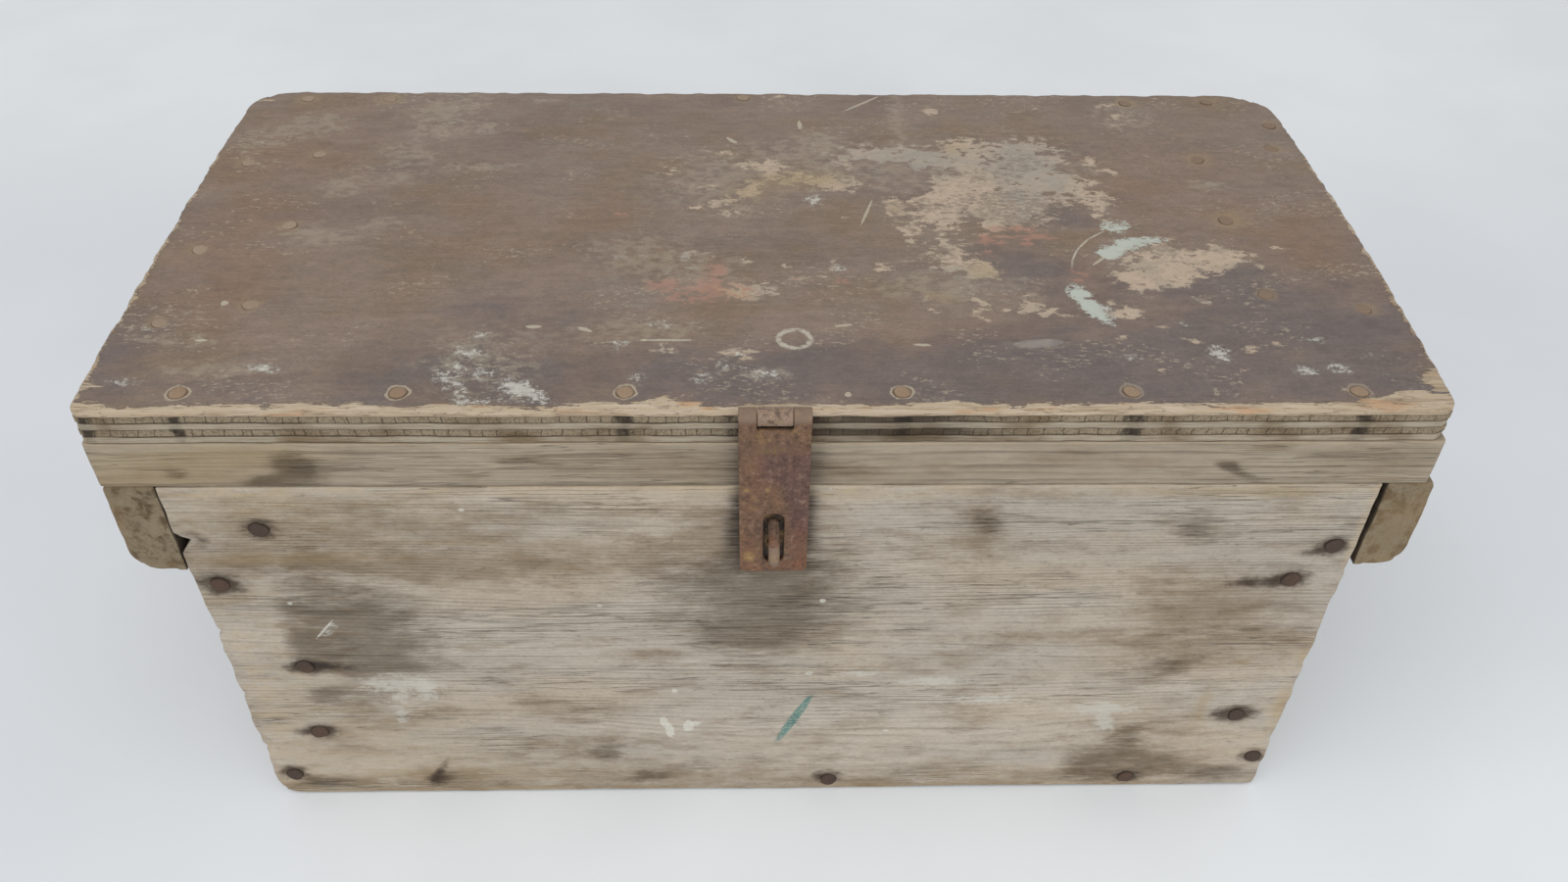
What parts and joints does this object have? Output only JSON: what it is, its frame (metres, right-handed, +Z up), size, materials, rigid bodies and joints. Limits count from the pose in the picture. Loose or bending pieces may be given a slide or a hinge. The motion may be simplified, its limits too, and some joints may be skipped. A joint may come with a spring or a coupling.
{
  "type": "carpenters tool chest",
  "caption": "Low nailed pine tool chest with batten handles, a hinged plywood lid and a front hasp over a staple.",
  "frame": {"origin": "middle of the body's base, on the surface it stands on", "axes": "+X to the right along the chest's length, +Y from the hasp to the hinges, +Z up"},
  "size_m": [0.587, 0.3153, 0.2786],
  "materials": {
    "weathered_pine": "weathered, bare",
    "rim_pine": "weathered, bare",
    "inside_pine": "bare",
    "handle_wood": "weathered, bare",
    "painted_plywood": "worn brown paint",
    "rusty_steel": "rusted, matt",
    "rusty_nails": "rusted, matt"
  },
  "bodies": {
    "carcase": {"front_board": "weathered_pine", "back_board": "weathered_pine", "left_end_board": "weathered_pine", "right_end_board": "weathered_pine", "bottom_board_front": "inside_pine", "bottom_board_middle": "inside_pine", "bottom_board_back": "inside_pine", "corner_post_front_left": "inside_pine", "corner_post_front_right": "inside_pine", "corner_post_back_left": "inside_pine", "corner_post_back_right": "inside_pine", "left_handle_cleat": "handle_wood", "right_handle_cleat": "handle_wood", "staple_plate": "rusty_steel", "staple": "rusty_steel", "staple_screw_1": "rusty_nails", "staple_screw_2": "rusty_nails", "left_hinge_body_leaf": "rusty_steel", "right_hinge_body_leaf": "rusty_steel", "left_hinge_pin": "rusty_steel", "right_hinge_pin": "rusty_steel", "left_hinge_body_screw_1": "rusty_nails", "left_hinge_body_screw_2": "rusty_nails", "right_hinge_body_screw_1": "rusty_nails", "right_hinge_body_screw_2": "rusty_nails", "front_nail_1": "rusty_nails", "front_nail_2": "rusty_nails", "front_nail_3": "rusty_nails", "front_nail_4": "rusty_nails", "front_nail_5": "rusty_nails", "front_nail_6": "rusty_nails", "front_nail_7": "rusty_nails", "front_nail_8": "rusty_nails", "front_nail_9": "rusty_nails", "front_nail_10": "rusty_nails", "front_nail_11": "rusty_nails"},
    "lid": {"lid_panel": "painted_plywood", "front_rail": "rim_pine", "back_rail": "rim_pine", "left_rail": "rim_pine", "right_rail": "rim_pine", "left_lid_batten": "inside_pine", "right_lid_batten": "inside_pine", "left_hinge_lid_leaf": "rusty_steel", "right_hinge_lid_leaf": "rusty_steel", "hasp_leaf": "rusty_steel", "hasp_pin": "rusty_steel", "hasp_leaf_screw_1": "rusty_nails", "hasp_leaf_screw_2": "rusty_nails", "left_hinge_lid_screw_1": "rusty_nails", "left_hinge_lid_screw_2": "rusty_nails", "right_hinge_lid_screw_1": "rusty_nails", "right_hinge_lid_screw_2": "rusty_nails", "lid_nail_1": "rusty_nails", "lid_nail_2": "rusty_nails", "lid_nail_3": "rusty_nails", "lid_nail_4": "rusty_nails", "lid_nail_5": "rusty_nails", "lid_nail_6": "rusty_nails"},
    "hasp_strap": {"hasp_strap": "rusty_steel"}
  },
  "joints": [
    {"name": "lid_hinge", "type": "hinge", "parent": "carcase", "child": "lid", "pos_m": [0, 0.1473, 0.231], "axis": [-1, 0, 0], "range_deg": [0, 185]},
    {"name": "hasp_hinge", "type": "hinge", "parent": "lid", "child": "hasp_strap", "pos_m": [-0.002, -0.1473, 0.2746], "axis": [-1, 0, 0], "range_deg": [0, 240]}
  ]
}
